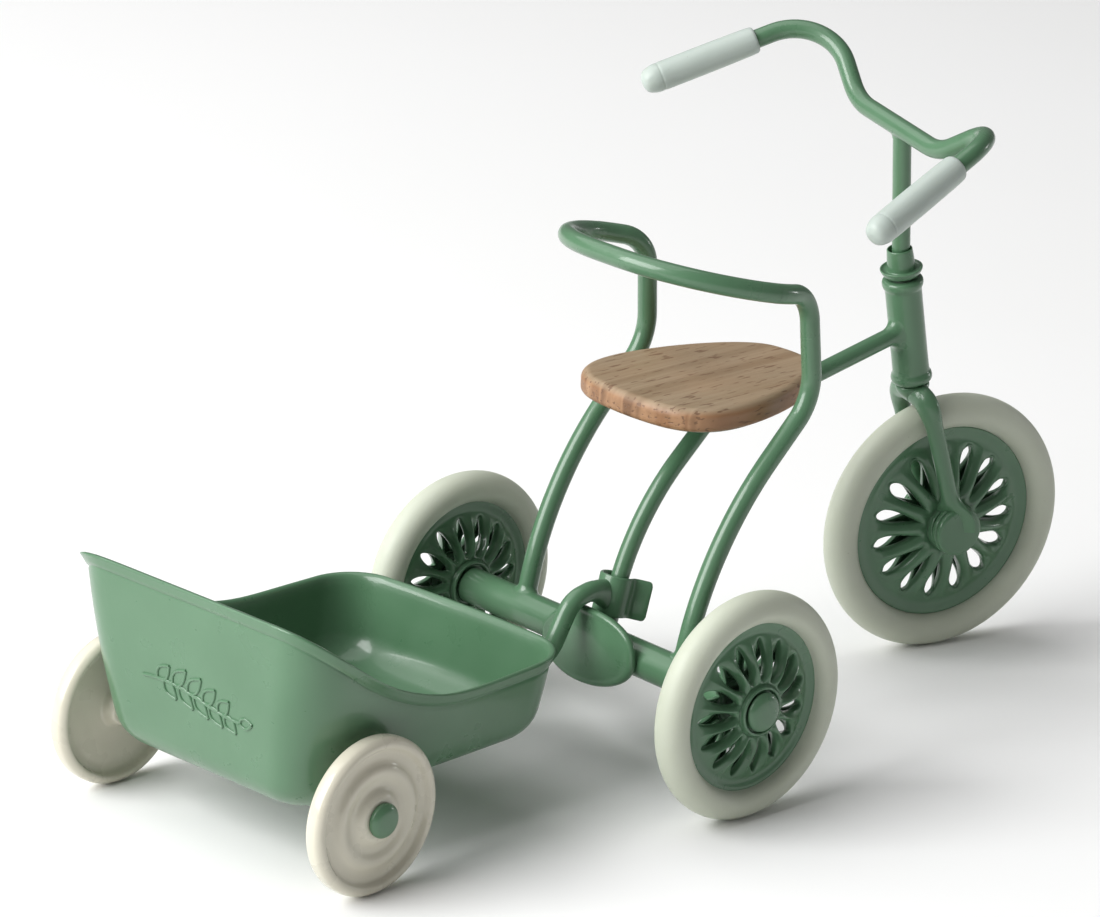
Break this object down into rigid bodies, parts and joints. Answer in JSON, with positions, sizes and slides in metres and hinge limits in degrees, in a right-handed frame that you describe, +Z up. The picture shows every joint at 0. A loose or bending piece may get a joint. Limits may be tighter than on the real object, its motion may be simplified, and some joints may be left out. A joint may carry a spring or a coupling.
{
  "type": "tricycle",
  "caption": "Doll-size steel tricycle with louvred wheels, a wooden seat, an armrest hoop, high handlebar and a hitched tub trailer on pressed wheels.",
  "frame": {"origin": "on the floor under the middle of the whole outline, tricycle and trailer together", "axes": "+X forward along the tricycle, +Y to its left, +Z up"},
  "size_m": [0.1955, 0.0864, 0.1142],
  "materials": {
    "green_enamel": "semi-gloss enamel",
    "cream_enamel": "gloss enamel",
    "tyre_rubber": "smooth satin",
    "grip_rubber": "smooth, slightly translucent",
    "beech": "sanded, oiled",
    "bright_steel": "plated"
  },
  "bodies": {
    "frame": {"head_tube": "green_enamel", "spine_bar": "green_enamel", "seat_hoop_bar": "green_enamel", "axle_saddle_plate": "green_enamel", "rear_axle_tube": "green_enamel", "rear_axle_rod": "bright_steel", "rear_hub_caps": "green_enamel", "seat_board": "beech", "seat_pan": "green_enamel", "seat_brackets": "green_enamel", "seat_screws": "bright_steel"},
    "fork": {"steerer": "bright_steel", "fork_crown": "green_enamel", "fork_blade_left": "green_enamel", "fork_blade_right": "green_enamel", "headset_collar": "green_enamel", "stem": "green_enamel", "handlebar": "green_enamel", "grip_left": "grip_rubber", "grip_right": "grip_rubber", "front_axle_rod": "bright_steel", "front_hub_caps": "green_enamel"},
    "front_wheel": {"front_tyre": "tyre_rubber", "front_left_disc": "green_enamel", "front_right_disc": "green_enamel", "front_hub_bush": "bright_steel"},
    "rear_left_wheel": {"rear_left_tyre": "tyre_rubber", "rear_left_outer_disc": "green_enamel", "rear_left_inner_disc": "green_enamel", "rear_left_hub_bush": "bright_steel"},
    "rear_right_wheel": {"rear_right_tyre": "tyre_rubber", "rear_right_outer_disc": "green_enamel", "rear_right_inner_disc": "green_enamel", "rear_right_hub_bush": "bright_steel"},
    "trailer": {"trailer_tub": "green_enamel", "drawbar_plate": "green_enamel", "trailer_axle_straps": "green_enamel", "floor_rivets": "green_enamel", "trailer_axle_rod": "bright_steel", "trailer_hub_caps": "green_enamel", "drawbar": "green_enamel", "hitch_clip": "green_enamel"},
    "trailer_left_wheel": {"trailer_left_wheel": "cream_enamel"},
    "trailer_right_wheel": {"trailer_right_wheel": "cream_enamel"}
  },
  "joints": [
    {"name": "steering", "type": "hinge", "parent": "frame", "child": "fork", "pos_m": [0.06495, -0.00065, 0.05274], "axis": [-0.2, 0, 0.9798], "range_deg": [-61.5, 88.5]},
    {"name": "front_wheel_spin", "type": "hinge", "parent": "fork", "child": "front_wheel", "pos_m": [0.07391, -0.0014, 0.02436], "axis": [0.2287, 0.9724, 0.0467], "continuous": true},
    {"name": "rear_left_spin", "type": "hinge", "parent": "frame", "child": "rear_left_wheel", "pos_m": [-0.0094, 0.03631, 0.02], "axis": [0, 1, 0], "continuous": true},
    {"name": "rear_right_spin", "type": "hinge", "parent": "frame", "child": "rear_right_wheel", "pos_m": [-0.0094, -0.03761, 0.02], "axis": [0, 1, 0], "continuous": true},
    {"name": "trailer_swivel", "type": "hinge", "parent": "frame", "child": "trailer", "pos_m": [-0.00595, -0.00065, 0.02775], "axis": [0, 0, 1], "range_deg": [-3, 20]},
    {"name": "trailer_left_spin", "type": "hinge", "parent": "trailer", "child": "trailer_left_wheel", "pos_m": [-0.08417, 0.038, 0.01356], "axis": [-0.0765, 0.9971, 0], "continuous": true},
    {"name": "trailer_right_spin", "type": "hinge", "parent": "trailer", "child": "trailer_right_wheel", "pos_m": [-0.07943, -0.02382, 0.01356], "axis": [-0.0765, 0.9971, 0], "continuous": true}
  ]
}
